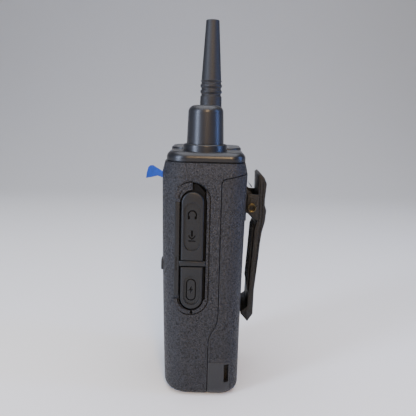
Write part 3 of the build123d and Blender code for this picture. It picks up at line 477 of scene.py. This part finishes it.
# Belt clip: one moulding in glass-filled nylon. A long leaf carries two cheeks that hang on the
# pin, a round thumb loop above them, stiffening ribs inside and a tooth at the foot.
clip_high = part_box("clip_arm")[1] / MM
pin_low, pin_high = (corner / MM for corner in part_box("clip_pin"))
pin_y, pin_z = (pin_low.y + pin_high.y) / 2, (pin_low.z + pin_high.z) / 2
clip_half = clip_high.x
cheek_inner = clip_half - 1.7


def leaf(corners, x_low, x_high, rim, corner_radius, name):
    """Plate with rounded corners and rims, drawn from the side as distances from the pin."""
    shape = bmesh.new()
    shape.faces.new([shape.verts.new((x_low, pin_y + y, pin_z + z)) for y, z in corners])
    thicken(shape, x_low, x_high, 0)
    across = [edge for edge in shape.edges
              if abs(edge.verts[0].co.x - edge.verts[1].co.x) > (x_high - x_low) / 2]
    bmesh.ops.bevel(shape, geom=across, offset=corner_radius, segments=4, profile=0.5,
                    affect="EDGES", material=-1)
    rims = [edge for edge in shape.edges if abs(edge.verts[0].co.x - edge.verts[1].co.x) < same]
    if rim:
        bmesh.ops.bevel(shape, geom=rims, offset=rim, segments=2, profile=0.5,
                        affect="EDGES", material=-1)
    return stand(shape, name)


arm = leaf([(2.7, 15.6), (3.8, 16.4), (5.6, 14.8), (6.9, 11.8), (6.3, 4.2), (6.3, 1.4), (7.2, -1.2),
            (6.75, -6.8), (5.5, -11.8), (4.8, -17.4), (4.2, -26.0), (3.5, -33.8), (2.8, -41.5),
            (2.6, -54.2), (0.0, -58.2), (-3.6, -54.0), (-3.3, -52.7), (-0.4, -50.3), (0.0, -40.8),
            (0.9, -25.8), (1.7, -10.8), (2.8, -6.0), (2.8, 6.0)],
           -clip_half, clip_half, 0.35, 0.3, "belt_clip")
loop = leaf([(-1.8, 5.6), (-1.7, 9.8), (-0.8, 14.4), (0.1, 16.6), (1.3, 17.3), (2.9, 16.2), (3.4, 13.4),
             (3.0, 8.0), (3.0, 4.5)], -clip_half + 0.5, clip_half - 0.5, 0.4, 0.7, "loop")
hole = leaf([(-0.8, 6.6), (-0.7, 10.0), (0.1, 13.8), (0.7, 15.2), (1.5, 15.0), (2.0, 13.0),
             (1.7, 6.8), (0.6, 5.4)], -clip_half - 1, clip_half + 1, 0, 0.5, "hole")
hollow = leaf([(-9, 3.0), (1.6, 3.0), (1.6, 11.6), (-9, 11.6)], -cheek_inner, cheek_inner, 0, 0.1, "hollow")
carve(loop, [hole, hollow])
parts = [loop]
for side in (-1, 1):
    near, far = sorted((side * cheek_inner, side * clip_half))
    parts.append(leaf([(-2.6, 0.9), (-2.8, -1.9), (1.0, -5.6), (3.4, -6.2), (3.4, 6.4), (-1.9, 6.6)],
                      near, far, 0.15, 0.4, "cheek"))
for x in (-9.0, -4.5, 0.0, 4.5, 9.0):
    parts.append(leaf([(2.2, -8.4), (0.9, -11.5), (0.1, -25.8), (-0.8, -40.0), (0.6, -46.0), (1.4, -40.8),
                       (2.0, -25.8), (3.4, -8.6)], x - 0.45, x + 0.45, 0, 0.1, "rib"))
carve(arm, parts, "UNION")
grooves = []
for start, end in ((-clip_half - 1, -clip_half + 0.45), (clip_half - 0.45, clip_half + 1)):
    grooves.append(leaf([(3.45, 14.2), (3.85, 14.2), (3.85, -7.0), (3.45, -7.0)],
                        start, end, 0, 0.05, "groove"))
    grooves.append(leaf([(5.0, 13.0), (5.4, 13.0), (5.1, 4.0), (5.3, -6.0), (4.3, -14.0), (3.1, -33.0),
                         (2.8, -33.0), (3.9, -14.0), (4.9, -6.0), (4.7, 4.0)], start, end, 0, 0.05, "groove"))
bore = leaf([(1.2 * cos(turn * pi / 8), 1.2 * sin(turn * pi / 8)) for turn in range(16)],
            -clip_half - 1, clip_half + 1, 0, 0.05, "bore")
carve(arm, grooves + [bore])
# Its grain is painted from near black in the pits to grey on the peaks: painted shade and painted glints.
clip_nylon = roughen(new_material("glass-filled nylon clip", "#0d0e10", 0.45, IOR=1.42),
                     0.7, 0.3, "#030304", "#26272a", 0.6, 0.32, edge_mm=0.35)
dress(arm, clip_nylon, "belt_clip")
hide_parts("clip_arm")


# Clip pin: a drawn steel tube, zinc plated and yellowed, pushed through the bracket and the
# clip's cheeks and rolled over at both ends.
def turned(profile, name):
    """Turns a side profile, given as (X, radius) points, round the clip pin's line."""
    shape = bmesh.new()
    points = [shape.verts.new((x, 0, radius)) for x, radius in profile]
    edges = [shape.edges.new(pair) for pair in zip(points, points[1:])]
    bmesh.ops.spin(shape, geom=points + edges, cent=(0, 0, 0), axis=(1, 0, 0), angle=2 * pi,
                   steps=48, use_merge=True)
    bmesh.ops.remove_doubles(shape, verts=shape.verts, dist=same)
    bmesh.ops.translate(shape, verts=shape.verts, vec=(0, pin_y, pin_z))
    return stand(shape, name)


end, head = pin_high.x, (pin_high.y - pin_low.y) / 2
half_profile = [(0, 1.1), (end - 0.5, 1.1), (end - 0.5, head - 0.1), (end - 0.35, head),
                (end - 0.12, head - 0.12), (end, head - 0.4), (end - 0.1, head - 0.7),
                (end - 0.5, head - 0.85), (end - 0.9, 0.9), (end - 0.9, 0)]
profile = [(-x, radius) for x, radius in reversed(half_profile)] + half_profile[1:]
pin = turned(profile, "rolled_clip_pin")
zinc_plate = roughen(new_material("yellow zinc plate", "#5a5140", 0.35, Metallic=1.0),
                     0.5, 0.04, "#3f382a", "#77694c", 0.46, 0.32)
dress(pin, zinc_plate, "battery")
# The bore inside each rolled end gets a near-black steel as painted shade in the hole.
shadowed_steel = roughen(new_material("dark steel painted as shade in the pin's bore", "#1b1a18", 0.5, Metallic=0.6),
                         0.5, 0.04, "#11100f", "#2a2826", 0.55, 0.4)
pin.data.materials.append(shadowed_steel)
for face in pin.data.polygons:
    middle = face.center / MM
    off_axis = ((middle.y - pin_y) ** 2 + (middle.z - pin_z) ** 2) ** 0.5
    if abs(middle.x) > end - 1 and off_axis < head - 0.75:
        face.material_index = 1
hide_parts("clip_pin")


# Clip spring and latch springs: drawn steel wire wound in coils. The clip's spring sits round
# the pin, and the latch's two stand one at each end of the latch.
def coil(start, length, radius, wire, turns, axis, name):
    """Wire ring drawn once and wound along an axis from its start point."""
    shape = bmesh.new()
    steps = turns * 20
    bmesh.ops.create_circle(shape, segments=8, radius=wire, matrix=Matrix.Translation((0, 0, radius)))
    bmesh.ops.rotate(shape, verts=shape.verts, cent=(0, 0, radius), matrix=Matrix.Rotation(pi / 2, 3, "Y"))
    bmesh.ops.rotate(shape, verts=shape.verts, cent=(0, 0, radius), matrix=Matrix.Rotation(pi / 2, 3, "Z"))
    ring = shape.verts[:] + shape.edges[:]
    bmesh.ops.spin(shape, geom=ring, cent=(0, 0, 0), axis=(1, 0, 0), dvec=(length / steps, 0, 0),
                   angle=2 * pi * turns, steps=steps)
    bmesh.ops.holes_fill(shape, edges=[edge for edge in shape.edges if edge.is_boundary], sides=8)
    if axis == "Y":
        bmesh.ops.rotate(shape, verts=shape.verts, matrix=Matrix.Rotation(pi / 2, 3, "Z"))
    bmesh.ops.translate(shape, verts=shape.verts, vec=start)
    return stand(shape, name)


spring_low, spring_high = (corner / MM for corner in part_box("clip_spring"))
spring = coil((spring_low.x + 0.4, pin_y, pin_z), spring_high.x - spring_low.x - 0.8,
              spring_high.z - pin_z - 0.38, 0.35, 12, "X", "clip_torsion_spring")
dress(spring, spring_steel, "battery")
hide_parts("clip_spring")
latch_low, latch_high = (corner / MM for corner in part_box("latch_springs"))
coils = [coil((x, latch_low.y + 0.2, (latch_low.z + latch_high.z) / 2), latch_high.y - latch_low.y - 0.4,
              (latch_high.z - latch_low.z) / 2 - 0.25, 0.2, 4, "Y", "latch_coil_springs")
         for x in (latch_low.x + 1.3, latch_high.x - 1.3)]
carve(coils[0], coils[1:], "UNION")
dress(coils[0], spring_steel, "battery")
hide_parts("latch_springs")


# Pull tab of the display film: thin printed polyester, stuck down at one edge and curled away
# from the housing by the thumb.
tab_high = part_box("film_pull_tab")[1] / MM
sheet = bmesh.new()
tab_back, tab_top = tab_high.y, tab_high.z
tab_corners = [(0.0, -5.7), (-2.5, -4.9), (-5.3, -5.6), (-7.8, -6.0), (-7.5, -3.4), (-6.8, -0.9),
               (-6.0, -0.1), (-4.6, 0.0), (-3.2, -0.9), (-1.5, -1.9), (0.0, -2.8)]
tab_x = tab_high.x - 0.3
sheet.faces.new([sheet.verts.new((tab_x, tab_back + y, tab_top + z)) for y, z in tab_corners])
for fold in range(1, 16):
    bmesh.ops.bisect_plane(sheet, geom=sheet.verts[:] + sheet.edges[:] + sheet.faces[:],
                           plane_co=(0, tab_back - fold * 0.5, 0), plane_no=(0, 1, 0))
for vert in sheet.verts:
    out = (tab_back - vert.co.y) / 8
    vert.co.x += 2.2 * out ** 2 - 1.2 * out
bmesh.ops.solidify(sheet, geom=sheet.faces[:], thickness=0.25)
tab = stand(sheet, "curled_pull_tab")
dress(tab, blue_film, "radio")
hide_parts("film_pull_tab")
